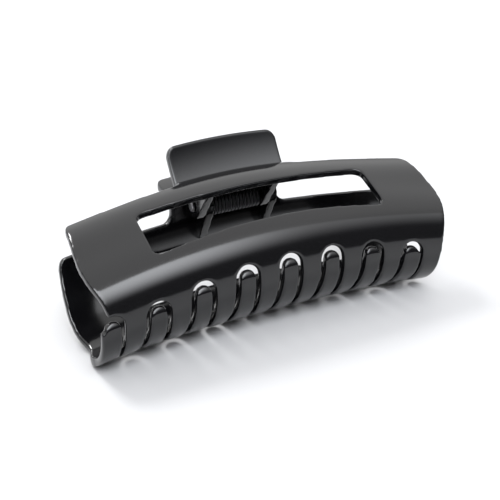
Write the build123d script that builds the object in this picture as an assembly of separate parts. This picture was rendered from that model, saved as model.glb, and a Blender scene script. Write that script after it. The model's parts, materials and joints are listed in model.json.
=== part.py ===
from build123d import *
import os
from math import sin, cos, radians, degrees, hypot, pi

# Claw clip: two arched jaws that close to an oval barrel, hinged on a pin under the
# thumb tabs and held shut by a torsion spring. Millimetres.
# Clip frame used while building: X along the hinge, +Z from the teeth to the tabs,
# the front jaw on the -Y side, the rear jaw on the +Y side.

# ---- barrel -------------------------------------------------------------------------
barrel_half = 61.0        # half length of the jaws along X
barrel_radius = 21.2      # mean radius of the closed barrel at mid length
barrel_taper = 4.2        # loss of radius towards the ends
barrel_taper_easing = 1.7 # gives part of that back right at the ends
section_stretch = 0.14    # how much taller than wide the closed section is
section_stretch_ends = 0.046
section_egg = 0.05        # narrows the section towards the hinge
arch_drop = 5.6           # how far the ends of the back line fall below its middle
wall = 2.5                # moulding wall

# ---- edges of one jaw, as angles round the section from the hinge side -----------------
top_edge_angle = 28.0     # long edge beside the hinge, mid length
top_edge_ends = -3.4      # change of that angle towards the ends
window_top_angle = 53.7
window_bottom_angle = 99.6
slot_top_angle = 134.7    # rounded root of the gaps between teeth, mid length
slot_top_rise = 16.6      # the same angle grows by this towards the ends
half_slot_angle = 141.0   # root of the open gap at one end of each jaw
tooth_tip_angle = 223.0   # the moulding's wall is drawn round to here before the tips are cut

# ---- window ---------------------------------------------------------------------------
window_half = 39.2
window_corner = 2.8
window_top_fall = 1.6     # the long edges curve down this much from middle to corner
window_bottom_fall = 3.4

# ---- teeth ------------------------------------------------------------------------------
tooth_pitch = 14.5
slot_width = 7.8          # gap between two teeth of one jaw, at the root
tooth_tip_taper = 0.9     # each flank leans in this much by the tip
tip_gap = 1.6             # between a tooth tip and the root of the gap it closes into
tip_bevel = 1.1           # how far the outer face slopes in at the tip
tip_bevel_turn = 5.5      # degrees of the section over which it does
row_offset = 2.0          # both rows of teeth sit this far towards -X
end_corner = 3.0          # rounding of the jaw corners beside the hinge

# ---- thumb tab ----------------------------------------------------------------------------
tab_half = 19.3
tab_corner = 3.0
tab_root_fillet = 3.0     # run-out of the tab's flanks into the long edge
tab_wall = 2.4
tab_arch = 1.1            # tab follows the arch of the back: fall at its flanks
tab_root_out = 5.7        # outer face of the tab at its root, from the mid plane
tab_rise = 10.7           # tab height above its crease
tab_lean = 3.6            # outward lean over that height
tab_curl = 1.4            # and the extra curl at the tip

# ---- hinge ----------------------------------------------------------------------------------
hinge_height = 17.0       # pin axis above the barrel centre
pin_diameter = 2.2
pin_running_gap = 0.05    # radial, in the lugs of the front jaw
lug_radius = 4.4
lug_thickness = 2.65
lug_gap = 0.2             # between neighbouring lugs
lug_inner_face = 8.6      # inner face of the inner lug, from mid length
pin_head_radius = 1.9
pin_head_height = 0.8
pin_head_play = 0.15

# ---- spring -------------------------------------------------------------------------------------
wire_diameter = 1.1
coil_radius = 3.6         # of the wire's centre line
coil_pitch = 1.25
coil_turns = 12.5        # an odd number of halves, so that one leg rises on each side
leg_height = 10.0         # legs reach this far above the pin axis
leg_clearance = 0.12      # wire to the sides of the groove it lies in
groove_over_leg = 1.5     # the groove runs on past the leg's end
groove_floor_gap = 0.25

# ---- pose ------------------------------------------------------------------------------------------
roll_back = 57.7          # degrees the closed clip leans back on the table


def share(x):
    """0 at mid length, 1 near the ends."""
    return (x / (barrel_half - 1.0)) ** 2


def radius(angle, x):
    s = share(x)
    base = barrel_radius - barrel_taper * s + barrel_taper_easing * s * s
    stretch = section_stretch + section_stretch_ends * s
    a = radians(angle)
    return base * (1 + stretch * cos(2 * a) + section_egg * cos(3 * a))


def rim(angle, x, depth=0.0):
    """(outward, height) of a point of the section at x, depth below the outer face."""
    def at(a):
        return radius(a, x) * sin(radians(a)), radius(a, x) * cos(radians(a))
    (w0, h0), (w1, h1), (w, h) = at(angle - 0.5), at(angle + 0.5), at(angle)
    n = hypot(w1 - w0, h1 - h0)
    return w + depth * (h1 - h0) / n, h - depth * (w1 - w0) / n - arch_drop * share(x)


def spot(x, out, up):
    return Vector(x, -out, up)


def facing(angle, centre=0.0, start=0.0):
    """Sketch plane square to the direction at an angle round the section; its +Y runs to the hinge."""
    a = radians(angle)
    d = Vector(0, -sin(a), cos(a))
    return Plane(origin=Vector(0, 0, centre) + d * start, x_dir=(1, 0, 0), z_dir=d)


def along(angle, point):
    """Sketch height of a section point (outward, height) on facing(angle)."""
    a = radians(angle)
    return point[1] * sin(a) - point[0] * cos(a)


def shell():
    """One jaw's wall from under the tab root to the tooth tips: a loft of C sections."""
    first, steps = 9.0, 18
    turn = (tooth_tip_angle - first) / steps
    wires = []
    for k in range(-4, 5):
        x = k * (barrel_half + 0.6) / 4
        outer = [spot(x, *rim(first + turn * i, x)) for i in range(steps + 1)]
        inner = [spot(x, *rim(first + turn * i, x, wall)) for i in range(steps, -1, -1)]
        wires.append(Wire([Edge.make_spline(outer), Edge.make_line(outer[-1], inner[0]),
                           Edge.make_spline(inner), Edge.make_line(inner[-1], outer[0])]))
    return Solid.make_loft(wires)


def prism(plane, edges, start, end, rounded=()):
    """Closed outline on a plane, corners rounded where asked, pushed from start to end along its normal."""
    face = Face(Wire(edges))
    for (x, y), r in rounded:
        corner = face.vertices().sort_by_distance(Vector(x, y, 0))[0]
        face = face.fillet_2d(r, [corner])
    face = plane.location * face
    d = plane.z_dir
    return Solid.extrude(face.moved(Location(d * start)), d * (end - start))


def path(points):
    return [Edge.make_line(Vector(*a, 0), Vector(*b, 0)) for a, b in zip(points, points[1:])]


def end_reach(angle, tooth_end):
    """How far out the jaw's end edge lies at an angle round the section."""
    knots = [(0, barrel_half - 2.2), (28, barrel_half - 1.6), (60, barrel_half - 0.4), (85, barrel_half),
             (108, barrel_half - 0.7), (130, barrel_half - 3.0), (146, tooth_end + 0.5), (160, tooth_end), (400, tooth_end)]
    for (a0, x0), (a1, x1) in zip(knots, knots[1:]):
        if a0 <= angle <= a1:
            t = (angle - a0) / (a1 - a0)
            return x0 + (x1 - x0) * t


def long_edge_trim(side):
    """What is cut away above the long edge beside the hinge, on one side of the tab."""
    view = 22.0
    level = lambda x: along(view, rim(top_edge_angle + top_edge_ends * share(x), x))
    xe = end_reach(top_edge_angle, 0)
    xl = end_reach(top_edge_angle + degrees((end_corner + 0.4) / radius(top_edge_angle, xe)), 0)
    xs = [tab_half + (xe - tab_half) * i / 4 for i in range(5)]
    inner, outer = (tab_half, level(tab_half)), (xe, level(xe))
    high, low, far = level(0) + 25, level(xe) - end_corner - 0.4, barrel_half + 6
    edge = Edge.make_spline([Vector(side * x, level(x), 0) for x in xs])
    rest = path([(side * xe, outer[1]), (side * xl, low), (side * far, low), (side * far, high),
                 (side * tab_half, high), (side * tab_half, inner[1])])
    return prism(facing(view), [edge] + rest, 4, 45,
                 [((side * inner[0], inner[1]), tab_root_fillet), ((side * outer[0], outer[1]), end_corner)])


def end_trim(side, tooth_end):
    """What is cut away past the bowed end edge."""
    angles = [20, 34, 50, 68, 85, 100, 115, 130, 146, 160]
    pts = [(side * end_reach(a, tooth_end), rim(a, end_reach(a, tooth_end))[1]) for a in angles]
    edge = Edge.make_spline([Vector(x, z, 0) for x, z in pts])
    far = barrel_half + 8
    rest = path([pts[-1], (pts[-1][0], -40), (side * far, -40), (side * far, 40), (pts[0][0], 40), pts[0]])
    return prism(Plane.XZ, [edge] + rest, 0, 40)


def window():
    view = (window_top_angle + window_bottom_angle) / 2
    top = along(view, rim(window_top_angle, 0))
    low = along(view, rim(window_bottom_angle, 0))
    w, tc, lc = window_half, top - window_top_fall, low - window_bottom_fall
    edges = [Edge.make_three_point_arc(Vector(-w, tc, 0), Vector(0, top, 0), Vector(w, tc, 0))]
    edges += path([(w, tc), (w, lc)])
    edges += [Edge.make_three_point_arc(Vector(w, lc, 0), Vector(0, low, 0), Vector(-w, lc, 0))]
    edges += path([(-w, lc), (-w, tc)])
    return prism(facing(view), edges, 5, 40, [((x, y), window_corner) for x in (-w, w) for y in (tc, lc)])


def fan(x_low, x_high, angle_low, angle_high, spread=0.0, centre_x=None):
    """Wedge round the barrel between two angles and two x values, widening by spread to the far angle."""
    drop = arch_drop * share((x_low + x_high) / 2 if centre_x is None else centre_x)
    steps = 4
    rings = []
    for i in range(steps + 1):
        a = radians(angle_low + (angle_high - angle_low) * i / steps)
        grow = spread * i / steps
        pts = [Vector(x, -r * sin(a), r * cos(a) - drop)
               for x, r in ((x_low - grow, 7), (x_high + grow, 7), (x_high + grow, 42), (x_low - grow, 42))]
        rings.append(Wire.make_polygon(pts, close=True))
    return [Solid.make_loft(rings, ruled=True)]


def post(x, angle, r):
    """Round bar square to the shell at x and an angle round the section."""
    plane = facing(angle, centre=-arch_drop * share(x), start=7)
    plane.origin = plane.origin + Vector(x, 0, 0)
    return Solid.make_cylinder(r, 35, plane)


def slot_root(x):
    return slot_top_angle + slot_top_rise * share(x)


def tip_angle(x, root):
    """Where a tooth at x ends, given the root angle of the gap it closes into."""
    return 360 - root - degrees(tip_gap / radius(root, x))


def slot(x):
    half = slot_width / 2
    top = slot_root(x)
    mid = top + degrees(half / radius(top, x))
    return [post(x, mid, half)] + fan(x - half, x + half, mid - 0.5, tooth_tip_angle + 12, tooth_tip_taper * 1.2)


def half_slot(x, side):
    """Open gap at the end of a jaw; side is the end it opens to."""
    half = slot_width / 2
    mid = half_slot_angle + degrees(half / radius(half_slot_angle, x))
    far = side * (barrel_half + 8)
    lo, hi = sorted((x - side * half, far))
    tools = fan(lo, hi, mid - 0.5, tooth_tip_angle + 12, 0, centre_x=x) + [post(x, mid, half)]
    lo, hi = sorted((x, far))
    return tools + fan(lo, hi, half_slot_angle, mid + 0.5, 0, centre_x=x)


def tip_trim(x, half, tip):
    """Cuts one tooth to its length, rounds the tip and slopes its outer face."""
    reach = half + 1.4
    bend = tip - degrees(half / radius(tip, x))
    square = fan(x - reach, x + reach, bend, tooth_tip_angle + 12, 0, centre_x=x)
    cuts = [s - post(x, bend, half) for s in square]
    w0, h0 = rim(tip - tip_bevel_turn, x, -0.1)
    w1, h1 = rim(tip, x, tip_bevel)
    w2, h2 = rim(tip, x, -4.0)
    dw, dh = w1 - w0, h1 - h0
    pts = [(w0, h0), (w0 + 2.2 * dw, h0 + 2.2 * dh), (w2 + 2.2 * dw, h2 + 2.2 * dh), (w2, h2)]
    face = Face(Wire.make_polygon([spot(x - reach, *p) for p in pts], close=True))
    return cuts + [Solid.extrude(face, Vector(2 * reach, 0, 0))]


def crease_height():
    """Height of the shell's outer face where the tab stands on it."""
    a = 14.0
    for _ in range(8):
        w, h = rim(a, 0)
        a += degrees((tab_root_out - w) / radius(a, 0))
    return h


def tab_face(u, depth=0.0):
    """Outer face of the tab at a share u of its height; depth goes into the moulding."""
    w = tab_root_out + tab_lean * u + tab_curl * u * u
    slope = (tab_lean + 2 * tab_curl * u) / tab_rise
    n = hypot(1, slope)
    return w - depth / n, crease_height() + tab_rise * u + depth * slope / n


def thumb_tab():
    us = [-0.14, 0.1, 0.35, 0.6, 0.85, 1.0]
    outer = [spot(0, *tab_face(u)) for u in us]
    inner = [spot(0, *tab_face(u, tab_wall)) for u in reversed(us)]
    inner[-1] = Vector(0, inner[-1].Y, outer[0].Z)
    profile = Face(Wire([Edge.make_spline(outer), Edge.make_line(outer[-1], inner[0]),
                         Edge.make_spline(inner), Edge.make_line(inner[-1], outer[0])]))
    top = crease_height() + tab_rise
    bend = tab_half ** 2 / (2 * tab_arch)
    reach = degrees((tab_half + 2) / bend)
    pivot = Axis((0, 0, top - bend), (0, 1, 0))
    bent = Solid.revolve(profile.rotate(pivot, -reach), 2 * reach, pivot)
    z0, z1 = crease_height() - 4, top + 3
    corner_z = top - tab_arch
    outline = path([(-tab_half, z0), (tab_half, z0), (tab_half, corner_z)])
    outline += [Edge.make_three_point_arc(Vector(tab_half, corner_z, 0), Vector(0, top, 0), Vector(-tab_half, corner_z, 0))]
    outline += path([(-tab_half, corner_z), (-tab_half, z0)])
    frame = prism(Plane.XZ, outline, -2, 30, [((x, corner_z), tab_corner) for x in (-tab_half, tab_half)])
    return bent & frame


def lug(x_low, bore):
    """Hinge lug reaching from the wall to the pin axis."""
    hub = Circle(lug_radius)
    hub = Pos(0, hinge_height) * hub
    mid = x_low + lug_thickness / 2
    feet = [rim(a, mid, wall * 0.5) for a in (31, 40, 50)]
    outline = make_hull(hub.edges() + Polygon(*[(-w, h) for w, h in feet], align=None).edges())
    plane = Plane(origin=(x_low, 0, 0), x_dir=(0, 1, 0), z_dir=(1, 0, 0))
    solid = Solid.extrude(plane.location * outline.faces()[0], Vector(lug_thickness, 0, 0))
    hole_plane = Plane(origin=(x_low - 1, 0, hinge_height), z_dir=(1, 0, 0))
    return solid, Solid.make_cylinder(bore, lug_thickness + 2, hole_plane)


lug_pitch = lug_thickness + lug_gap
inner_lug = lug_inner_face
outer_lug = lug_inner_face + lug_pitch
hinge_end = outer_lug + lug_thickness


def leg_x():
    return coil_pitch * coil_turns / 2


def leg_groove():
    """Groove in the back of the tab that one spring leg lies in, wide enough for the leg's helix lean."""
    lean = leg_height * coil_pitch / (2 * pi * coil_radius)
    w = wire_diameter / 2 + leg_clearance
    bottom = hinge_height + coil_radius - 1
    top = hinge_height + leg_height + groove_over_leg
    corner = Plane(origin=(-leg_x() - lean - w, -(coil_radius + w + groove_floor_gap), bottom))
    return Solid.make_box(2 * w + lean, coil_radius, top - bottom, corner)


def jaw(shift, bore, slots):
    """One moulding, as the front jaw stands. shift places its tooth gaps along X; the outer lug is at -X."""
    half = (slots - 1) / 2
    gaps = [shift + (k - half) * tooth_pitch for k in range(slots)]
    open_gap = gaps[0] - tooth_pitch
    teeth = [g - tooth_pitch / 2 for g in gaps] + [gaps[-1] + tooth_pitch / 2]
    tooth = tooth_pitch - slot_width
    tooth_end = teeth[-1] + tooth / 2 + 0.15
    body = shell()
    tools = [long_edge_trim(1), long_edge_trim(-1), end_trim(1, tooth_end), end_trim(-1, barrel_half - 4.5), window()]
    for g in gaps:
        tools += slot(g)
    tools += half_slot(open_gap, -1)
    tools += fan(tooth_end, barrel_half + 8, 158, tooth_tip_angle + 12)
    for t in teeth:
        root = half_slot_angle if t == teeth[-1] else slot_root(t)
        tools += tip_trim(t, tooth / 2 - tooth_tip_taper, tip_angle(t, root))
    body = body.cut(*tools)
    lugs = [lug(-outer_lug - lug_thickness, bore), lug(inner_lug, bore)]
    body = body.fuse(thumb_tab(), *[s for s, _ in lugs])
    body = body.cut(*[h for _, h in lugs], leg_groove())
    return body


def hinge_pin():
    reach = hinge_end + pin_head_play
    shaft = Solid.make_cylinder(pin_diameter / 2, 2 * reach, Plane(origin=(-reach, 0, hinge_height), z_dir=(1, 0, 0)))
    heads = []
    for side in (-1, 1):
        base = Plane(origin=(side * reach, 0, hinge_height), z_dir=(side, 0, 0))
        head = Solid.make_cylinder(pin_head_radius, pin_head_height, base)
        rim_edge = head.edges().sort_by(Axis.X)[-1 if side > 0 else 0]
        heads.append(head.fillet(pin_head_height * 0.75, [rim_edge]))
    return shaft.fuse(*heads)


def torsion_spring():
    """Round wire swept along one leg, the coil turn by turn, and the other leg."""
    whole = int(coil_turns)
    turn = Edge.make_helix(coil_pitch, coil_pitch, coil_radius)
    last = Edge.make_helix(coil_pitch, coil_pitch * (coil_turns - whole), coil_radius)
    start = Plane(origin=(-leg_x(), 0, hinge_height), x_dir=(0, -1, 0), z_dir=(1, 0, 0))
    coil = [start.location * Pos(0, 0, coil_pitch * k) * turn for k in range(whole)]
    coil.append(start.location * Pos(0, 0, coil_pitch * whole) * last)
    p0, t0, p1, t1 = coil[0] @ 0, coil[0] % 0, coil[-1] @ 1, coil[-1] % 1
    first_leg = Edge.make_line(p0 - t0 * leg_height, p0)
    route = Wire([first_leg] + coil + [Edge.make_line(p1, p1 + t1 * leg_height)])
    section = Wire.make_circle(wire_diameter / 2, Plane(origin=p0 - t0 * leg_height, z_dir=t0))
    return Solid.sweep(section, path=route)


gap_count = int(2 * barrel_half / tooth_pitch) - 1
front = jaw(tooth_pitch / 4 - row_offset, pin_diameter / 2 + pin_running_gap, gap_count)
rear = jaw(tooth_pitch / 4 + row_offset, pin_diameter / 2, gap_count).rotate(Axis.Z, 180)
pieces = {"front_jaw": front, "rear_jaw": rear, "hinge_pin": hinge_pin(), "torsion_spring": torsion_spring()}

# Lay the closed clip back on its rear jaw and stand it on z = 0, centred on its footprint.
rolled = {name: piece.rotate(Axis.X, -roll_back) for name, piece in pieces.items()}
box = Compound([p for p in rolled.values()]).bounding_box()
to_table = Vector(-(box.min.X + box.max.X) / 2, -(box.min.Y + box.max.Y) / 2, -box.min.Z)
a = radians(roll_back)
pivot = Vector(0, hinge_height * sin(a), hinge_height * cos(a)) + to_table
print("hinge axis through", [round(v, 4) for v in pivot], "moved by", [round(v, 4) for v in to_table])

os.makedirs("parts", exist_ok=True)
for name, piece in rolled.items():
    export_step(piece.moved(Location(to_table)), f"parts/{name}.step")
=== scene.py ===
"""Visual model of a hair claw clip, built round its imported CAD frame.

Two glossy black moulded jaws hinged on a steel pin and closed by a dark coil spring, on a pale studio floor.
The jaws are modelled in millimetres in a clip frame (X along the hinge, Z from the teeth to the thumb tabs,
the front jaw on the -Y side) and are then laid back on the table, where the CAD frame has them.
"""

import json
import logging
import math
from dataclasses import dataclass
from enum import Enum
from typing import Callable

import bpy
import numpy as np
from mathutils import Matrix, Vector


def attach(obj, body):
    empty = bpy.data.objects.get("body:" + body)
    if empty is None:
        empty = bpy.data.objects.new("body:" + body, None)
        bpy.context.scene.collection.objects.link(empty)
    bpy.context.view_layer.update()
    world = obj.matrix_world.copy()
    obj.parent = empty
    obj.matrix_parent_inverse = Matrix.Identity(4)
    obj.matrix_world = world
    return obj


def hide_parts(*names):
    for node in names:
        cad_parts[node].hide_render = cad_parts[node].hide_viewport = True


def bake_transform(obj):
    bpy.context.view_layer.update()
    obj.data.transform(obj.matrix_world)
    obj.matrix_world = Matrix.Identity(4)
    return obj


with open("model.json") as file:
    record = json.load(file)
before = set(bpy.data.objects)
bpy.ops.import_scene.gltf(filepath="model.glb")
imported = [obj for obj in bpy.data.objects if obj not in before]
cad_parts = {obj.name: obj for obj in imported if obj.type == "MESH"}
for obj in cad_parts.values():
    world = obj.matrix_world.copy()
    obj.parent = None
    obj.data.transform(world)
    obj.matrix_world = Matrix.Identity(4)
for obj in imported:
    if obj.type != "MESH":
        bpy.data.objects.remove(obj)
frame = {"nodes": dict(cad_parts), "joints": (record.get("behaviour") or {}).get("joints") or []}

log = logging.getLogger("claw_clip")

MM = 0.001
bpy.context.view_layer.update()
ROD_SIDES = 64
CORNER_SEGMENTS = 10


# ---- small tools ----------------------------------------------------------------------------------


def linear(colour: str) -> tuple[float, float, float, float]:
    """Turn an sRGB hex colour into linear red, green, blue and alpha.

    Args:
        colour: The colour as "#rrggbb".

    Returns:
        The four values that a shader socket takes.
    """
    parts = [int(colour[i : i + 2], 16) / 255 for i in (1, 3, 5)]
    return (*(p / 12.92 if p <= 0.04045 else ((p + 0.055) / 1.055) ** 2.4 for p in parts), 1.0)


def add_node(tree: bpy.types.NodeTree, kind: str, settings: dict, links: dict) -> bpy.types.Node:
    """Add one shader node.

    Args:
        tree: The node tree to add to.
        kind: The node's type name.
        settings: Attribute names, or input sockets by name or number, with their values.
        links: Input sockets by name or number, with the output sockets to join to them.

    Returns:
        The new node.
    """
    node = tree.nodes.new(kind)
    for key, value in settings.items():
        if isinstance(key, str) and hasattr(node, key):
            setattr(node, key, value)
        else:
            node.inputs[key].default_value = value
    for key, output in links.items():
        tree.links.new(output, node.inputs[key])
    return node


def activate(piece: bpy.types.Object) -> None:
    """Select one object alone and make it the active one."""
    bpy.ops.object.select_all(action="DESELECT")
    piece.select_set(True)
    bpy.context.view_layer.objects.active = piece


def block(low: tuple, high: tuple) -> bpy.types.Object:
    """Add a cube primitive at its size and place.

    Args:
        low: Its lowest corner.
        high: Its highest corner.

    Returns:
        The block, its size and place in its mesh.
    """
    centre = [(a + b) / 2 for a, b in zip(low, high)]
    bpy.ops.object.select_all(action="DESELECT")
    bpy.ops.mesh.primitive_cube_add(size=1, location=centre)
    piece = bpy.context.object
    piece.scale = [b - a for a, b in zip(low, high)]
    bpy.ops.object.transform_apply(location=True, rotation=True, scale=True)
    return piece


def rod(
    centre: tuple, radius: float, length: float, along_x: bool = False, stretch: float = 1.0
) -> bpy.types.Object:
    """Add a cylinder primitive.

    Args:
        centre: Its centre.
        radius: Its radius.
        length: Its length.
        along_x: Whether it lies along X; otherwise it stands along Z.
        stretch: Scale of a standing rod along Y.

    Returns:
        The rod, its size and place in its mesh.
    """
    bpy.ops.object.select_all(action="DESELECT")
    turn = (0, math.pi / 2, 0) if along_x else (0, 0, 0)
    bpy.ops.mesh.primitive_cylinder_add(
        vertices=ROD_SIDES, radius=radius, depth=length, location=centre, rotation=turn
    )
    piece = bpy.context.object
    piece.scale = (1, stretch, 1)
    bpy.ops.object.transform_apply(location=True, rotation=True, scale=True)
    return piece


def apply_modifier(piece: bpy.types.Object, kind: str, **settings) -> None:
    """Add a modifier with its settings and apply it.

    Args:
        piece: The object to change.
        kind: The modifier's type name.
        **settings: The modifier's attributes.
    """
    activate(piece)
    modifier = piece.modifiers.new(kind.lower(), kind)
    for key, value in settings.items():
        setattr(modifier, key, value)
    bpy.ops.object.modifier_apply(modifier=modifier.name)


def combine(piece: bpy.types.Object, tool: bpy.types.Object, operation: str) -> None:
    """Cut, add or intersect a piece with a tool, and use the tool up.

    Args:
        piece: The object that stays.
        tool: The object that is used up.
        operation: DIFFERENCE, UNION or INTERSECT.
    """
    apply_modifier(piece, "BOOLEAN", operation=operation, solver="EXACT", object=tool)
    bpy.data.objects.remove(tool)


def join(pieces: list[bpy.types.Object]) -> bpy.types.Object:
    """Join objects into the first one and return it."""
    activate(pieces[0])
    for piece in pieces[1:]:
        piece.select_set(True)
    bpy.ops.object.join()
    return pieces[0]


def edit_edges(
    piece: bpy.types.Object, chosen: Callable[[Vector, Vector], bool], action: Callable[[], object]
) -> None:
    """Run an edit-mode operator on the edges that pass a test.

    Args:
        piece: The object to shape.
        chosen: A test of an edge's middle and direction.
        action: The operator to run.
    """
    activate(piece)
    bpy.ops.object.mode_set(mode="EDIT")
    bpy.ops.mesh.select_mode(type="EDGE")
    bpy.ops.mesh.select_all(action="DESELECT")
    bpy.ops.object.mode_set(mode="OBJECT")
    places = piece.data.vertices
    for edge in piece.data.edges:
        a, b = (places[i].co for i in edge.vertices)
        edge.select = chosen((a + b) / 2, (b - a).normalized())
    bpy.ops.object.mode_set(mode="EDIT")
    action()
    bpy.ops.object.mode_set(mode="OBJECT")


def bevel_upright_edges(piece: bpy.types.Object, near: Callable[[Vector], bool], radius: float) -> None:
    """Round the edges along Z whose middle passes a test.

    Args:
        piece: The object to shape.
        near: A test of the edge's middle.
        radius: The rounding.
    """
    upright = 0.99
    edit_edges(
        piece,
        lambda middle, way: abs(way.z) > upright and near(middle),
        lambda: bpy.ops.mesh.bevel(offset=radius, segments=CORNER_SEGMENTS, affect="EDGES"),
    )


def slice_across(piece: bpy.types.Object, axis: int, stations: np.ndarray) -> None:
    """Add edge loops across a piece, so that it can take a curve.

    Args:
        piece: The object to shape.
        axis: 0 for loops across X, 1 for loops across Y.
        stations: Where along that axis the loops go.
    """
    normal = [0.0, 0.0, 0.0]
    normal[axis] = 1.0
    activate(piece)
    bpy.ops.object.mode_set(mode="EDIT")
    for station in stations:
        place = [0.0, 0.0, 0.0]
        place[axis] = float(station)
        bpy.ops.mesh.select_all(action="SELECT")
        bpy.ops.mesh.bisect(plane_co=place, plane_no=normal)
    bpy.ops.object.mode_set(mode="OBJECT")


def reshape(piece: bpy.types.Object, form: Callable[[np.ndarray, np.ndarray, np.ndarray], tuple]) -> None:
    """Move every vertex of a piece by a formula.

    Args:
        piece: The object to shape.
        form: Takes the X, Y and Z of all vertices and gives their new X, Y and Z.
    """
    places = np.zeros(len(piece.data.vertices) * 3)
    piece.data.vertices.foreach_get("co", places)
    moved = np.stack(form(*places.reshape(-1, 3).T), axis=1)
    piece.data.vertices.foreach_set("co", moved.ravel())
    piece.data.update()


def face_outwards(piece: bpy.types.Object) -> None:
    """Turn every face of a closed piece outwards, after a formula has mirrored it."""
    activate(piece)
    bpy.ops.object.mode_set(mode="EDIT")
    bpy.ops.mesh.select_all(action="SELECT")
    bpy.ops.mesh.normals_make_consistent(inside=False)
    bpy.ops.object.mode_set(mode="OBJECT")


def soften(piece: bpy.types.Object, grain: float, rounds: int) -> None:
    """Give a piece an even mesh and rounded edges, as a mould's edges are.

    Args:
        piece: The object to shape.
        grain: Size of the even mesh's faces.
        rounds: How many times the edges are relaxed.
    """
    apply_modifier(piece, "REMESH", mode="VOXEL", voxel_size=grain, adaptivity=0.0, use_smooth_shade=True)
    apply_modifier(piece, "SMOOTH", factor=0.5, iterations=rounds)


# ---- the clip's form ------------------------------------------------------------------------------


@dataclass(frozen=True)
class Barrel:
    """Outer form of the closed barrel that the two jaws make. Angles are in degrees from the hinge side."""

    half: float = 61.0
    radius_mid: float = 21.2
    taper: float = 4.2
    taper_easing: float = 1.7
    stretch: float = 0.14
    stretch_ends: float = 0.046
    egg: float = 0.05
    arch_drop: float = 5.6
    wall: float = 2.5

    def share(self, x: np.ndarray | float) -> np.ndarray | float:
        """Return 0 at mid length and 1 near the ends."""
        return (x / (self.half - 1.0)) ** 2

    def radius(self, angle: np.ndarray | float, x: np.ndarray | float) -> np.ndarray | float:
        """Return the outer radius at an angle and a place along the barrel."""
        s = self.share(x)
        base = self.radius_mid - self.taper * s + self.taper_easing * s * s
        a = np.radians(angle)
        return base * (1 + (self.stretch + self.stretch_ends * s) * np.cos(2 * a) + self.egg * np.cos(3 * a))

    def rim(self, angle: np.ndarray | float, x: np.ndarray | float, depth: np.ndarray | float = 0.0) -> tuple:
        """Find a point of the wall.

        Args:
            angle: Degrees round the section from the hinge side.
            x: Place along the barrel.
            depth: How far under the outer face.

        Returns:
            How far out from the mid plane and how high the point is.
        """
        step = 0.5
        out0, up0 = self._on_face(angle - step, x)
        out1, up1 = self._on_face(angle + step, x)
        out, up = self._on_face(angle, x)
        n = np.hypot(out1 - out0, up1 - up0)
        return out + depth * (up1 - up0) / n, up - depth * (out1 - out0) / n - self.arch_drop * self.share(x)

    def _on_face(self, angle: np.ndarray | float, x: np.ndarray | float) -> tuple:
        """Return how far out and how high the outer face is, before the arch."""
        r, a = self.radius(angle, x), np.radians(angle)
        return r * np.sin(a), r * np.cos(a)

    def arc(self, angle: float) -> float:
        """Return the place of an angle on the flat blank."""
        return math.radians(angle) * self.radius_mid

    def angle(self, arc: np.ndarray | float) -> np.ndarray | float:
        """Return the angle of a place on the flat blank."""
        return np.degrees(arc / self.radius_mid)

    def across(self, angle: float, x: float) -> float:
        """Return how much a round hole is stretched on the flat blank, so that it is round on the barrel."""
        return self.radius_mid / self.radius(angle, x)

    def roll(self, x: np.ndarray, arc: np.ndarray, z: np.ndarray) -> tuple:
        """Wrap the flat blank round the barrel: its Y runs round the section, its Z points outwards."""
        out, up = self.rim(self.angle(arc), x, -z)
        return x, -out, up


@dataclass(frozen=True)
class Hinge:
    """Sizes round the hinge pin, in millimetres."""

    height: float = 17.0
    pin_radius: float = 1.1
    lug_radius: float = 4.4
    lug_thickness: float = 2.65
    lug_gap: float = 0.2
    lug_inner_face: float = 8.6
    wire_radius: float = 0.55
    coil_radius: float = 3.6
    coil_pitch: float = 1.25
    coil_turns: float = 12.5
    leg_height: float = 10.0
    leg_clearance: float = 0.12
    groove_over_leg: float = 1.5
    groove_floor_gap: float = 0.25

    @property
    def coil_half(self) -> float:
        """Half the length of the coil."""
        return self.coil_pitch * self.coil_turns / 2

    @property
    def leg_lean(self) -> float:
        """How far a leg leans along X over its height."""
        return self.leg_height * self.coil_pitch / (2 * math.pi * self.coil_radius)


@dataclass(frozen=True)
class Table:
    """Where the clip lies: rolled back on its rear jaw, its hinge where the CAD frame has it."""

    roll_back: float = 57.7

    def lay(self, piece: bpy.types.Object, hinge: Hinge) -> None:
        """Move a finished piece from the clip frame in millimetres to the row frame in metres.

        Args:
            piece: The piece to place.
            hinge: Gives the height of the pin in the clip frame.
        """
        pivot = Vector(frame["joints"][0]["pos_m"])
        turn = Matrix.Rotation(-math.radians(self.roll_back), 4, "X")
        size = Matrix.Scale(MM, 4)
        to_pin = Matrix.Translation((0, 0, -hinge.height))
        piece.data.transform(Matrix.Translation(pivot) @ turn @ size @ to_pin)
        piece.data.update()


class Side(Enum):
    """Which jaw: the front one moves, the rear one lies on the table and holds the pin."""

    FRONT = "front"
    REAR = "rear"


# ---- finishes -------------------------------------------------------------------------------------


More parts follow.
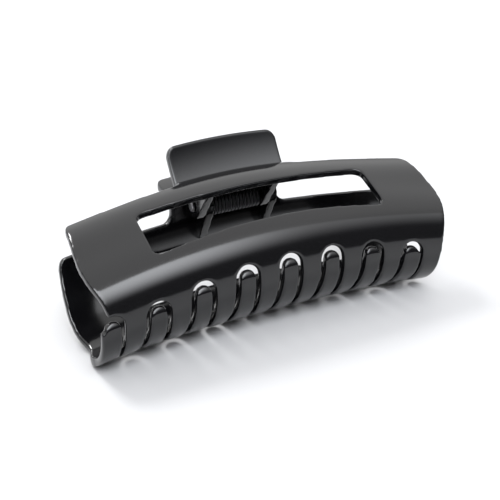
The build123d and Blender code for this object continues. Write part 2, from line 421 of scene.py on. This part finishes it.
@dataclass(frozen=True)
class PolishedPlastic:
    """Black styrene from a polished mould: a clear gloss over a dense dark body."""

    name: str = "black_styrene_polished_mould"
    body: str = "#0c0c0e"
    ior: float = 1.55
    gloss: float = 0.13
    gloss_spread: float = 0.05
    flow_mm: float = 9.0
    ripple_mm: float = 2.2
    ripple_height_mm: float = 0.0016

    def material(self) -> bpy.types.Material:
        """Make the material."""
        made = bpy.data.materials.new(self.name)
        made.use_nodes = True
        tree = made.node_tree
        tree.nodes.clear()
        place = add_node(tree, "ShaderNodeTexCoord", {}, {})
        # The melt's flow leaves slow changes of gloss, about a centimetre across.
        flow = add_node(
            tree,
            "ShaderNodeTexNoise",
            {"Scale": 1 / (self.flow_mm * MM), "Detail": 2.0},
            {"Vector": place.outputs["Object"]},
        )
        rough = add_node(
            tree,
            "ShaderNodeMapRange",
            {"To Min": self.gloss - self.gloss_spread / 2, "To Max": self.gloss + self.gloss_spread / 2},
            {"Value": flow.outputs["Fac"]},
        )
        # Shrinkage ripples of a moulded wall, a couple of millimetres apart and far under a hundredth high.
        ripple = add_node(
            tree,
            "ShaderNodeTexNoise",
            {"Scale": 1 / (self.ripple_mm * MM), "Detail": 1.0},
            {"Vector": place.outputs["Object"]},
        )
        bump = add_node(
            tree,
            "ShaderNodeBump",
            {"Strength": 1.0, "Distance": self.ripple_height_mm * MM},
            {"Height": ripple.outputs["Fac"]},
        )
        shader = add_node(
            tree,
            "ShaderNodeBsdfPrincipled",
            {"Base Color": linear(self.body), "IOR": self.ior},
            {"Roughness": rough.outputs["Result"], "Normal": bump.outputs["Normal"]},
        )
        add_node(tree, "ShaderNodeOutputMaterial", {}, {"Surface": shader.outputs["BSDF"]})
        return made


@dataclass(frozen=True)
class DrawnSteel:
    """Drawn steel wire or rod: a metal with fine dull drawing marks."""

    name: str
    colour: str
    roughness: float
    mark_mm: float = 0.25
    mark_depth: float = 0.12

    def material(self) -> bpy.types.Material:
        """Make the material."""
        made = bpy.data.materials.new(self.name)
        made.use_nodes = True
        tree = made.node_tree
        tree.nodes.clear()
        place = add_node(tree, "ShaderNodeTexCoord", {}, {})
        # Drawing marks are finer than this; they are drawn as coarse as they need to show.
        marks = add_node(
            tree,
            "ShaderNodeTexNoise",
            {"Scale": 1 / (self.mark_mm * MM), "Detail": 3.0},
            {"Vector": place.outputs["Object"]},
        )
        rough = add_node(
            tree,
            "ShaderNodeMapRange",
            {"To Min": self.roughness - self.mark_depth, "To Max": self.roughness + self.mark_depth},
            {"Value": marks.outputs["Fac"]},
        )
        shader = add_node(
            tree,
            "ShaderNodeBsdfPrincipled",
            {"Base Color": linear(self.colour), "Metallic": 1.0},
            {"Roughness": rough.outputs["Result"]},
        )
        add_node(tree, "ShaderNodeOutputMaterial", {}, {"Surface": shader.outputs["BSDF"]})
        return made


@dataclass(frozen=True)
class SeamlessPaper:
    """Pale studio paper: dull, with a faint unevenness."""

    name: str = "pale_seamless_paper"
    light: str = "#c0c0c1"
    shade: str = "#bcbcbd"
    cloud_mm: float = 60.0

    def material(self) -> bpy.types.Material:
        """Make the material."""
        made = bpy.data.materials.new(self.name)
        made.use_nodes = True
        tree = made.node_tree
        tree.nodes.clear()
        place = add_node(tree, "ShaderNodeTexCoord", {}, {})
        cloud = add_node(
            tree,
            "ShaderNodeTexNoise",
            {"Scale": 1 / (self.cloud_mm * MM)},
            {"Vector": place.outputs["Object"]},
        )
        tint = add_node(
            tree,
            "ShaderNodeMix",
            {"data_type": "RGBA", 6: linear(self.shade), 7: linear(self.light)},
            {0: cloud.outputs["Fac"]},
        )
        shader = add_node(
            tree, "ShaderNodeBsdfPrincipled", {"Roughness": 0.6}, {"Base Color": tint.outputs[2]}
        )
        add_node(tree, "ShaderNodeOutputMaterial", {}, {"Surface": shader.outputs["BSDF"]})
        return made


# ---- the pieces -----------------------------------------------------------------------------------


@dataclass(frozen=True)
class Jaw:
    """One moulded jaw: barrel wall, window, teeth, thumb tab and two hinge lugs."""

    side: Side
    barrel: Barrel = Barrel()
    hinge: Hinge = Hinge()
    grain: float = 0.4
    lug_grain: float = 0.3
    edge_rounds: int = 16
    tab_edge_rounds: int = 6
    first_angle: float = 9.0
    last_angle: float = 223.0
    top_edge_angle: float = 28.0
    top_edge_ends: float = -3.4
    end_corner: float = 3.0
    window_top_angle: float = 53.7
    window_bottom_angle: float = 99.6
    window_half: float = 39.2
    window_corner: float = 2.8
    window_top_fall: float = 1.6
    window_bottom_fall: float = 3.4
    slot_top_angle: float = 134.7
    slot_top_rise: float = 16.6
    half_slot_angle: float = 141.0
    tooth_pitch: float = 14.5
    tooth_side_gap: float = 0.55
    slot_count: int = 7
    row_offset: float = 2.0
    tooth_taper: float = 0.9
    tip_gap: float = 1.6
    tip_bevel: float = 1.1
    tip_bevel_turn: float = 5.5
    tab_half: float = 19.3
    tab_corner: float = 3.0
    tab_root_fillet: float = 3.0
    tab_wall: float = 2.4
    tab_arch: float = 1.1
    tab_root_out: float = 5.7
    tab_rise: float = 10.7
    tab_lean: float = 3.6
    tab_curl: float = 1.4
    tab_foot: float = 1.5
    clear: float = 4.0
    blank_over: float = 0.6
    tip_overrun: float = 12.0
    cut_overlap_turn: float = 0.5
    tooth_end_over: float = 0.15
    open_end_short: float = 4.5
    gap_spread: float = 1.2
    tip_side_clear: float = 1.4
    lug_foot_angles: tuple[float, float] = (31.0, 48.0)
    lug_foot_radius: float = 1.0

    @property
    def slot_width(self) -> float:
        """Width of the gap between two teeth at its root."""
        return self.tooth_pitch / 2 + self.tooth_side_gap

    @property
    def shift(self) -> float:
        """Place of the middle tooth gap along X."""
        offset = -self.row_offset if self.side is Side.FRONT else self.row_offset
        return self.tooth_pitch / 4 + offset

    @property
    def gaps(self) -> list[float]:
        """Places of the gaps between teeth."""
        half = (self.slot_count - 1) / 2
        return [self.shift + (k - half) * self.tooth_pitch for k in range(self.slot_count)]

    @property
    def teeth(self) -> list[float]:
        """Places of the teeth."""
        return [g - self.tooth_pitch / 2 for g in self.gaps] + [self.gaps[-1] + self.tooth_pitch / 2]

    @property
    def past_tips(self) -> float:
        """Place on the flat blank, past the tooth tips, where the cuts between teeth stop."""
        return self.barrel.arc(self.last_angle + self.tip_overrun)

    @property
    def tooth_width(self) -> float:
        """Width of a tooth at its root."""
        return self.tooth_pitch - self.slot_width

    def slot_root(self, x: float) -> float:
        """Angle of the rounded root of a tooth gap."""
        return self.slot_top_angle + self.slot_top_rise * self.barrel.share(x)

    def through(self, low_x: float, low_arc: float, high_x: float, high_arc: float) -> bpy.types.Object:
        """Make a block that goes right through the flat blank."""
        ends = sorted((low_x, high_x)), sorted((low_arc, high_arc))
        return block(
            (ends[0][0], ends[1][0], -self.barrel.wall - self.clear), (ends[0][1], ends[1][1], self.clear)
        )

    def round_hole(self, x: float, angle: float, radius: float) -> bpy.types.Object:
        """Make a rod through the flat blank that is round once the blank is rolled."""
        centre = (x, self.barrel.arc(angle), -self.barrel.wall / 2)
        return rod(centre, radius, 2 * self.clear, stretch=self.barrel.across(angle, x))

    def blank(self) -> bpy.types.Object:
        """Make the flat blank of the barrel wall: X along the hinge, Y round the section, outer face up."""
        reach = self.barrel.half + self.blank_over
        low, high = self.barrel.arc(self.first_angle), self.barrel.arc(self.last_angle)
        return block((-reach, low, -self.barrel.wall), (reach, high, 0.0))

    def end_reach(self, angle: np.ndarray, tooth_end: float) -> np.ndarray:
        """Find how far out the bowed end edge is.

        Args:
            angle: Angles round the section.
            tooth_end: Reach of the end beside the teeth.

        Returns:
            The reach along X at each angle.
        """
        half = self.barrel.half
        turns = (0, 28, 60, 85, 108, 130, 146, 160)
        reach = (half - 2.2, half - 1.6, half - 0.4, half, half - 0.7, half - 3.0, tooth_end + 0.5, tooth_end)
        blur = np.linspace(-8, 8, 17)
        return np.mean([np.interp(angle + b, turns, reach) for b in blur], axis=0)

    def cut_long_edge(self, wall: bpy.types.Object) -> None:
        """Cut the long edge beside the hinge, on both sides of the tab, and round its outer corners."""
        edge = self.barrel.arc(self.top_edge_angle)
        drop = self.barrel.arc(self.top_edge_ends)
        low, far = -self.barrel.radius_mid, self.barrel.half + self.clear * 2
        corner_x = float(self.end_reach(np.array([self.top_edge_angle]), 0.0)[0])
        corner_arc = edge + drop * self.barrel.share(corner_x)
        r = self.end_corner
        for side in (-1, 1):
            tool = self.through(side * self.tab_half, low, side * far, edge)
            near_tab = lambda middle: abs(abs(middle.x) - self.tab_half) < 1 and middle.y > 0
            bevel_upright_edges(tool, near_tab, self.tab_root_fillet)
            slice_across(tool, 0, side * np.arange(self.tab_half + 4, far, 4.0))
            reshape(tool, lambda x, y, z: (x, y + np.where(y > 0, drop * self.barrel.share(x), 0), z))
            combine(wall, tool, "DIFFERENCE")
            inner = side * (corner_x - r)
            corner = self.through(inner, corner_arc - r, side * (corner_x + r), corner_arc + r)
            rounding = rod((inner, corner_arc + r, -self.barrel.wall / 2), r, self.clear * 4)
            combine(corner, rounding, "DIFFERENCE")
            combine(wall, corner, "DIFFERENCE")

    def cut_ends(self, wall: bpy.types.Object) -> None:
        """Cut the bowed end edges."""
        tooth_end = self.teeth[-1] + self.tooth_width / 2 + self.tooth_end_over
        open_end = self.barrel.half - self.open_end_short
        start, stop, inside = -self.barrel.radius_mid, self.past_tips, 50.0
        for side, beside_teeth in ((1, tooth_end), (-1, open_end)):
            tool = self.through(side * inside, start, side * (self.barrel.half + self.clear * 2), stop)
            slice_across(tool, 1, np.arange(start + 2, stop, 2.0))
            edge = lambda arc: self.end_reach(self.barrel.angle(arc), beside_teeth)
            reshape(tool, lambda x, y, z: (np.where(abs(x) < inside + 1, side * edge(y), x), y, z))
            combine(wall, tool, "DIFFERENCE")

    def cut_window(self, wall: bpy.types.Object) -> None:
        """Cut the window: a rounded rectangle seen square on, whose long edges follow the barrel's arch."""
        view = math.radians((self.window_top_angle + self.window_bottom_angle) / 2)
        level = lambda out, up: up * math.sin(view) - out * math.cos(view)
        top = level(*self.barrel.rim(self.window_top_angle, 0.0))
        low = level(*self.barrel.rim(self.window_bottom_angle, 0.0))
        w, top_fall, low_fall = self.window_half, self.window_top_fall, self.window_bottom_fall
        top_end, low_end = top - top_fall, low - low_fall
        tool = self.through(-w, low_end, w, top_end)
        bevel_upright_edges(tool, lambda middle: True, self.window_corner)
        slice_across(tool, 0, np.arange(-w + 5, w - 3, 3.0))
        turns = np.linspace(30.0, 125.0, 191)

        def onto_blank(x: np.ndarray, y: np.ndarray, z: np.ndarray) -> tuple:
            """Move the window's outline from its square-on view to the flat blank."""
            t = (y - low_end) / (top_end - low_end)
            bowed = y + (t * top_fall + (1 - t) * low_fall) * (1 - (x / w) ** 2)
            angles = [np.interp(-b, -level(*self.barrel.rim(turns, a)), turns) for a, b in zip(x, bowed)]
            return x, np.radians(angles) * self.barrel.radius_mid, z

        reshape(tool, onto_blank)
        face_outwards(tool)
        combine(wall, tool, "DIFFERENCE")

    def cut_gap(self, wall: bpy.types.Object, x: float) -> None:
        """Cut one gap between two teeth, round at its root and a little wider at the tips."""
        half, stop = self.slot_width / 2, self.past_tips
        middle = self.slot_root(x) + math.degrees(half / self.barrel.radius(self.slot_root(x), x))
        start = self.barrel.arc(middle)
        tool = self.through(x - half, start, x + half, stop)
        spread = self.tooth_taper * self.gap_spread
        reshape(tool, lambda a, y, z: (a + np.sign(a - x) * spread * (y - start) / (stop - start), y, z))
        combine(wall, tool, "DIFFERENCE")
        combine(wall, self.round_hole(x, middle, half), "DIFFERENCE")

    def cut_open_end(self, wall: bpy.types.Object) -> None:
        """Cut the open gap at the end of the tooth row."""
        half, x = self.slot_width / 2, self.gaps[0] - self.tooth_pitch
        middle = self.half_slot_angle + math.degrees(half / self.barrel.radius(self.half_slot_angle, x))
        stop, far = self.past_tips, -self.barrel.half - self.clear * 2
        combine(wall, self.through(far, self.barrel.arc(middle), x + half, stop), "DIFFERENCE")
        combine(wall, self.round_hole(x, middle, half), "DIFFERENCE")
        root, under = self.barrel.arc(self.half_slot_angle), self.barrel.arc(middle + self.cut_overlap_turn)
        combine(wall, self.through(far, root, x, under), "DIFFERENCE")

    def trim_tip(self, wall: bpy.types.Object, x: float) -> None:
        """Cut one tooth to length, round its tip and slope its outer face."""
        half = self.tooth_width / 2 - self.tooth_taper
        reach, stop = half + self.tip_side_clear, self.past_tips
        root = self.half_slot_angle if x == self.teeth[-1] else self.slot_root(x)
        tip = 360 - root - math.degrees(self.tip_gap / self.barrel.radius(root, x))
        bend = tip - math.degrees(half / self.barrel.radius(tip, x))
        tool = self.through(x - reach, self.barrel.arc(bend), x + reach, stop)
        combine(tool, self.round_hole(x, bend, half), "DIFFERENCE")
        combine(wall, tool, "DIFFERENCE")
        run = self.barrel.arc(self.tip_bevel_turn)
        slope = math.atan2(self.tip_bevel, run)
        wedge = block((-reach, -1.0, 0.0), (reach, run * 2, self.clear))
        start = Matrix.Translation((x, self.barrel.arc(tip) - run, 0.0))
        wedge.data.transform(start @ Matrix.Rotation(-slope, 4, "X"))
        combine(wall, wedge, "DIFFERENCE")

    def groove(self) -> bpy.types.Object:
        """Make the tool for the groove that one spring leg lies in."""
        h = self.hinge
        w = h.wire_radius + h.leg_clearance
        front = -(h.coil_radius + w + h.groove_floor_gap)
        low = (-h.coil_half - h.leg_lean - w, front, h.height + h.coil_radius - 1)
        high = (-h.coil_half + w, front + h.coil_radius, h.height + h.leg_height + h.groove_over_leg)
        return block(low, high)

    def crease_height(self) -> float:
        """Height of the barrel's outer face where the tab stands on it."""
        turns = np.linspace(8.0, 30.0, 221)
        out, up = self.barrel.rim(turns, 0.0)
        return float(np.interp(self.tab_root_out, out, up))

    def tab(self) -> bpy.types.Object:
        """Make the thumb tab: a plate with two rounded corners, curled outwards and arched with the back."""
        piece = block((-self.tab_half, -self.tab_foot, -self.tab_wall), (self.tab_half, self.tab_rise, 0.0))
        bevel_upright_edges(piece, lambda middle: middle.y > 0, self.tab_corner)
        soften(piece, self.grain, self.tab_edge_rounds)
        crease = self.crease_height()
        bend_centre = crease + self.tab_rise - self.tab_half**2 / (2 * self.tab_arch)

        def curl(x: np.ndarray, y: np.ndarray, z: np.ndarray) -> tuple:
            """Lean, curl and arch the flat plate."""
            u = y / self.tab_rise
            slope = (self.tab_lean + 2 * self.tab_curl * u) / self.tab_rise
            n = np.hypot(1, slope)
            out = self.tab_root_out + self.tab_lean * u + self.tab_curl * u * u + z / n
            up = crease + y - z * slope / n
            return x, -out, bend_centre + np.sqrt((up - bend_centre) ** 2 - x**2)

        reshape(piece, curl)
        return piece

    def lug(self, x_low: float) -> bpy.types.Object:
        """Make one hinge lug, from the barrel wall to the pin, with its hole."""
        h = self.hinge
        middle = x_low + h.lug_thickness / 2
        hub = rod((middle, 0.0, h.height), h.lug_radius, h.lug_thickness, along_x=True)
        feet = []
        for angle in self.lug_foot_angles:
            out, up = self.barrel.rim(angle, middle, self.barrel.wall / 2)
            feet.append(rod((middle, -out, up), self.lug_foot_radius, h.lug_thickness, along_x=True))
        piece = join([hub, *feet])
        activate(piece)
        bpy.ops.object.mode_set(mode="EDIT")
        bpy.ops.mesh.select_all(action="SELECT")
        bpy.ops.mesh.convex_hull()
        bpy.ops.object.mode_set(mode="OBJECT")
        soften(piece, self.lug_grain, 2)
        hole = rod((middle, 0.0, h.height), h.pin_radius, h.lug_thickness * 2, along_x=True)
        combine(piece, hole, "DIFFERENCE")
        return piece

    def lugs(self) -> list[bpy.types.Object]:
        """Make both lugs: the outer one at -X and the inner one at +X."""
        h = self.hinge
        outer = h.lug_inner_face + h.lug_thickness + h.lug_gap
        return [self.lug(-outer - h.lug_thickness), self.lug(h.lug_inner_face)]

    def build(self) -> bpy.types.Object:
        """Build the whole jaw in the clip frame."""
        wall = self.blank()
        self.cut_long_edge(wall)
        self.cut_ends(wall)
        self.cut_window(wall)
        for x in self.gaps:
            self.cut_gap(wall, x)
        self.cut_open_end(wall)
        for x in self.teeth:
            self.trim_tip(wall, x)
        soften(wall, self.grain, self.edge_rounds)
        reshape(wall, self.barrel.roll)
        face_outwards(wall)
        tab = self.tab()
        for piece in (wall, tab):
            combine(piece, self.groove(), "DIFFERENCE")
        for piece in (tab, *self.lugs()):
            combine(wall, piece, "UNION")
        if self.side is Side.REAR:
            wall.data.transform(Matrix.Rotation(math.pi, 4, "Z"))
        return wall

    def dress(self, piece: bpy.types.Object, finish: bpy.types.Material) -> None:
        """Give the jaw its finish, its place and its body."""
        piece.name = f"{self.side.value}_jaw_moulding"
        Table().lay(piece, self.hinge)
        piece.data.materials.clear()
        piece.data.materials.append(finish)
        activate(piece)
        bpy.ops.object.shade_smooth_by_angle(angle=math.radians(40))
        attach(piece, self.side.value)
        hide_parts(f"{self.side.value}_jaw")


@dataclass(frozen=True)
class TorsionSpring:
    """Close-wound coil round the pin, with one leg behind each thumb tab."""

    hinge: Hinge = Hinge()
    points_per_turn: int = 40
    section_points: int = 6

    def route(self) -> list[tuple[float, float, float]]:
        """Points of the wire's centre line in the clip frame: one leg, the coil and the other leg."""
        h = self.hinge
        count = int(h.coil_turns * self.points_per_turn)
        coil = []
        for k in range(count + 1):
            turn = 2 * math.pi * k / self.points_per_turn
            x = -h.coil_half + h.coil_pitch * k / self.points_per_turn
            coil.append((x, -h.coil_radius * math.cos(turn), h.height - h.coil_radius * math.sin(turn)))
        top = h.height + h.leg_height
        first = (-h.coil_half - h.leg_lean, -h.coil_radius, top)
        last = (h.coil_half + h.leg_lean, h.coil_radius, top)
        return [first, *coil, last]

    def build(self) -> bpy.types.Object:
        """Make the wire as a round tube along its route."""
        line = bpy.data.curves.new("torsion_spring_wire", "CURVE")
        line.dimensions = "3D"
        line.bevel_depth = self.hinge.wire_radius
        line.bevel_resolution = self.section_points
        line.use_fill_caps = True
        points = self.route()
        spline = line.splines.new("POLY")
        spline.points.add(len(points) - 1)
        for point, place in zip(spline.points, points):
            point.co = (*place, 1.0)
        piece = bpy.data.objects.new("torsion_spring_wire", line)
        bpy.context.scene.collection.objects.link(piece)
        activate(piece)
        bpy.ops.object.convert(target="MESH")
        return bpy.context.object

    def dress(self, piece: bpy.types.Object, finish: bpy.types.Material) -> None:
        """Give the spring its finish and its place."""
        Table().lay(piece, self.hinge)
        piece.data.materials.clear()
        piece.data.materials.append(finish)
        activate(piece)
        bpy.ops.object.shade_smooth_by_angle(angle=math.radians(50))
        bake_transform(piece)
        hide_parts("torsion_spring")


@dataclass(frozen=True)
class Softbox:
    """A rectangular studio light that faces the clip."""

    name: str
    azimuth: float
    elevation: float
    distance: float
    width: float
    height: float
    power: float
    tint: str = "#ffffff"


@dataclass(frozen=True)
class Studio:
    """Paper floor, soft light, light tent and the camera."""

    camera_azimuth: float = -27.214
    camera_elevation: float = 26.52
    camera_distance_mm: float = 334.55
    lens_mm: float = 75.9
    frame_shift: tuple[float, float] = (-0.0061, -0.0191)
    floor_half: float = 4.0
    boxes: tuple[Softbox, ...] = (
        Softbox("back_box", 198.0, 52.0, 1.0, 0.3, 0.3, 6.5),
    )
    tent_axis: tuple[float, float, float] = (0.0, 0.35, 0.94)
    tent_fade: tuple[float, float] = (0.18, 0.72)
    tent_glow: tuple[float, float] = (0.1, 1.35)
    panel_bottom: tuple[float, float] = (0.44, 0.86)
    panel_back: tuple[float, float] = (-0.385, -0.355)
    panel_right: tuple[float, float] = (0.18, 0.5)
    panel_right_share: float = 0.14
    panel_glow: float = 7.5
    panel_tint: str = "#f7faff"

    def aim(
        self, piece: bpy.types.Object, target: Vector, azimuth: float, elevation: float, distance: float
    ) -> None:
        """Place a camera or light on a sphere round a target and point it there."""
        a, e = math.radians(azimuth), math.radians(elevation)
        back = Vector((math.sin(a) * math.cos(e), -math.cos(a) * math.cos(e), math.sin(e)))
        piece.location = target + back * distance
        piece.rotation_euler = back.to_track_quat("Z", "Y").to_euler()

    def light_tent(self) -> bpy.types.World:
        """Make the room light: a dim white tent overhead and a bright panel high in front of the clip."""
        world = bpy.data.worlds.new("light_tent")
        world.use_nodes = True
        tree = world.node_tree
        tree.nodes.clear()
        way = add_node(tree, "ShaderNodeTexCoord", {}, {})
        axes = add_node(tree, "ShaderNodeSeparateXYZ", {}, {"Vector": way.outputs["Generated"]})

        def ramp(
            source: bpy.types.NodeSocket, ends: tuple, low: float, high: float
        ) -> bpy.types.NodeSocket:
            """Fade a brightness from low to high as the source goes from one end to the other."""
            settings = {
                "interpolation_type": "SMOOTHSTEP",
                "From Min": ends[0],
                "From Max": ends[1],
                "To Min": low,
                "To Max": high,
            }
            return add_node(tree, "ShaderNodeMapRange", settings, {"Value": source}).outputs["Result"]

        def times(a: bpy.types.NodeSocket, b: bpy.types.NodeSocket) -> bpy.types.NodeSocket:
            """Multiply two brightnesses."""
            return add_node(tree, "ShaderNodeMath", {"operation": "MULTIPLY"}, {0: a, 1: b}).outputs["Value"]

        lean = add_node(
            tree,
            "ShaderNodeVectorMath",
            {"operation": "DOT_PRODUCT", 1: self.tent_axis},
            {0: way.outputs["Generated"]},
        )
        tent = ramp(lean.outputs["Value"], self.tent_fade, *self.tent_glow)
        panel = ramp(axes.outputs["Z"], self.panel_bottom, 0.0, self.panel_glow)
        panel = times(panel, ramp(axes.outputs["Y"], self.panel_back, 1.0, 0.0))
        panel = times(panel, ramp(axes.outputs["X"], self.panel_right, 1.0, self.panel_right_share))
        white = add_node(tree, "ShaderNodeBackground", {"Color": linear("#ffffff")}, {"Strength": tent})
        cool = add_node(tree, "ShaderNodeBackground", {"Color": linear(self.panel_tint)}, {"Strength": panel})
        both = add_node(
            tree, "ShaderNodeAddShader", {}, {0: white.outputs["Background"], 1: cool.outputs["Background"]}
        )
        add_node(tree, "ShaderNodeOutputWorld", {}, {"Surface": both.outputs["Shader"]})
        return world

    def build(self, hinge: Hinge) -> None:
        """Make the floor, the lights, the room light and the camera."""
        pivot = Vector(frame["joints"][0]["pos_m"])
        roll = math.radians(Table().roll_back)
        middle = pivot - Vector((0, math.sin(roll), math.cos(roll))) * hinge.height * MM
        bpy.ops.object.select_all(action="DESELECT")
        bpy.ops.mesh.primitive_grid_add(x_subdivisions=8, y_subdivisions=8, size=2 * self.floor_half)
        floor = bpy.context.object
        floor.name = "paper_floor"
        floor.data.materials.append(SeamlessPaper().material())
        for box in self.boxes:
            light = bpy.data.lights.new(box.name, "AREA")
            light.shape = "RECTANGLE"
            light.size, light.size_y = box.width, box.height
            light.energy = box.power
            light.color = linear(box.tint)[:3]
            piece = bpy.data.objects.new(box.name, light)
            bpy.context.scene.collection.objects.link(piece)
            self.aim(piece, middle, box.azimuth, box.elevation, box.distance)
        bpy.context.scene.world = self.light_tent()
        bpy.context.scene.view_settings.view_transform = "Standard"
        camera = bpy.data.objects.new("camera", bpy.data.cameras.new("camera"))
        bpy.context.scene.collection.objects.link(camera)
        camera.data.lens = self.lens_mm
        camera.data.sensor_width = 36.0
        camera.data.shift_x, camera.data.shift_y = self.frame_shift
        camera.data.clip_start = 0.01
        self.aim(camera, middle, self.camera_azimuth, self.camera_elevation, self.camera_distance_mm * MM)
        bpy.context.scene.camera = camera


def main() -> None:
    """Build the clip, dress it and set the studio."""
    logging.basicConfig(level=logging.INFO, format="%(message)s")
    plastic = PolishedPlastic().material()
    spring_steel = DrawnSteel("dark_drawn_spring_wire", "#4a4a4c", 0.34).material()
    pin_steel = DrawnSteel("drawn_steel_pin", "#8a8a8c", 0.3).material()
    for side in Side:
        jaw = Jaw(side)
        piece = jaw.build()
        jaw.dress(piece, plastic)
        log.info("%s: %d faces", piece.name, len(piece.data.polygons))
    spring = TorsionSpring()
    wire = spring.build()
    spring.dress(wire, spring_steel)
    log.info("%s: %d faces", wire.name, len(wire.data.polygons))
    pin = frame["nodes"]["hinge_pin"]
    for slot in pin.material_slots:
        slot.material = pin_steel
    Studio().build(Hinge())


if __name__ == "__main__":
    main()
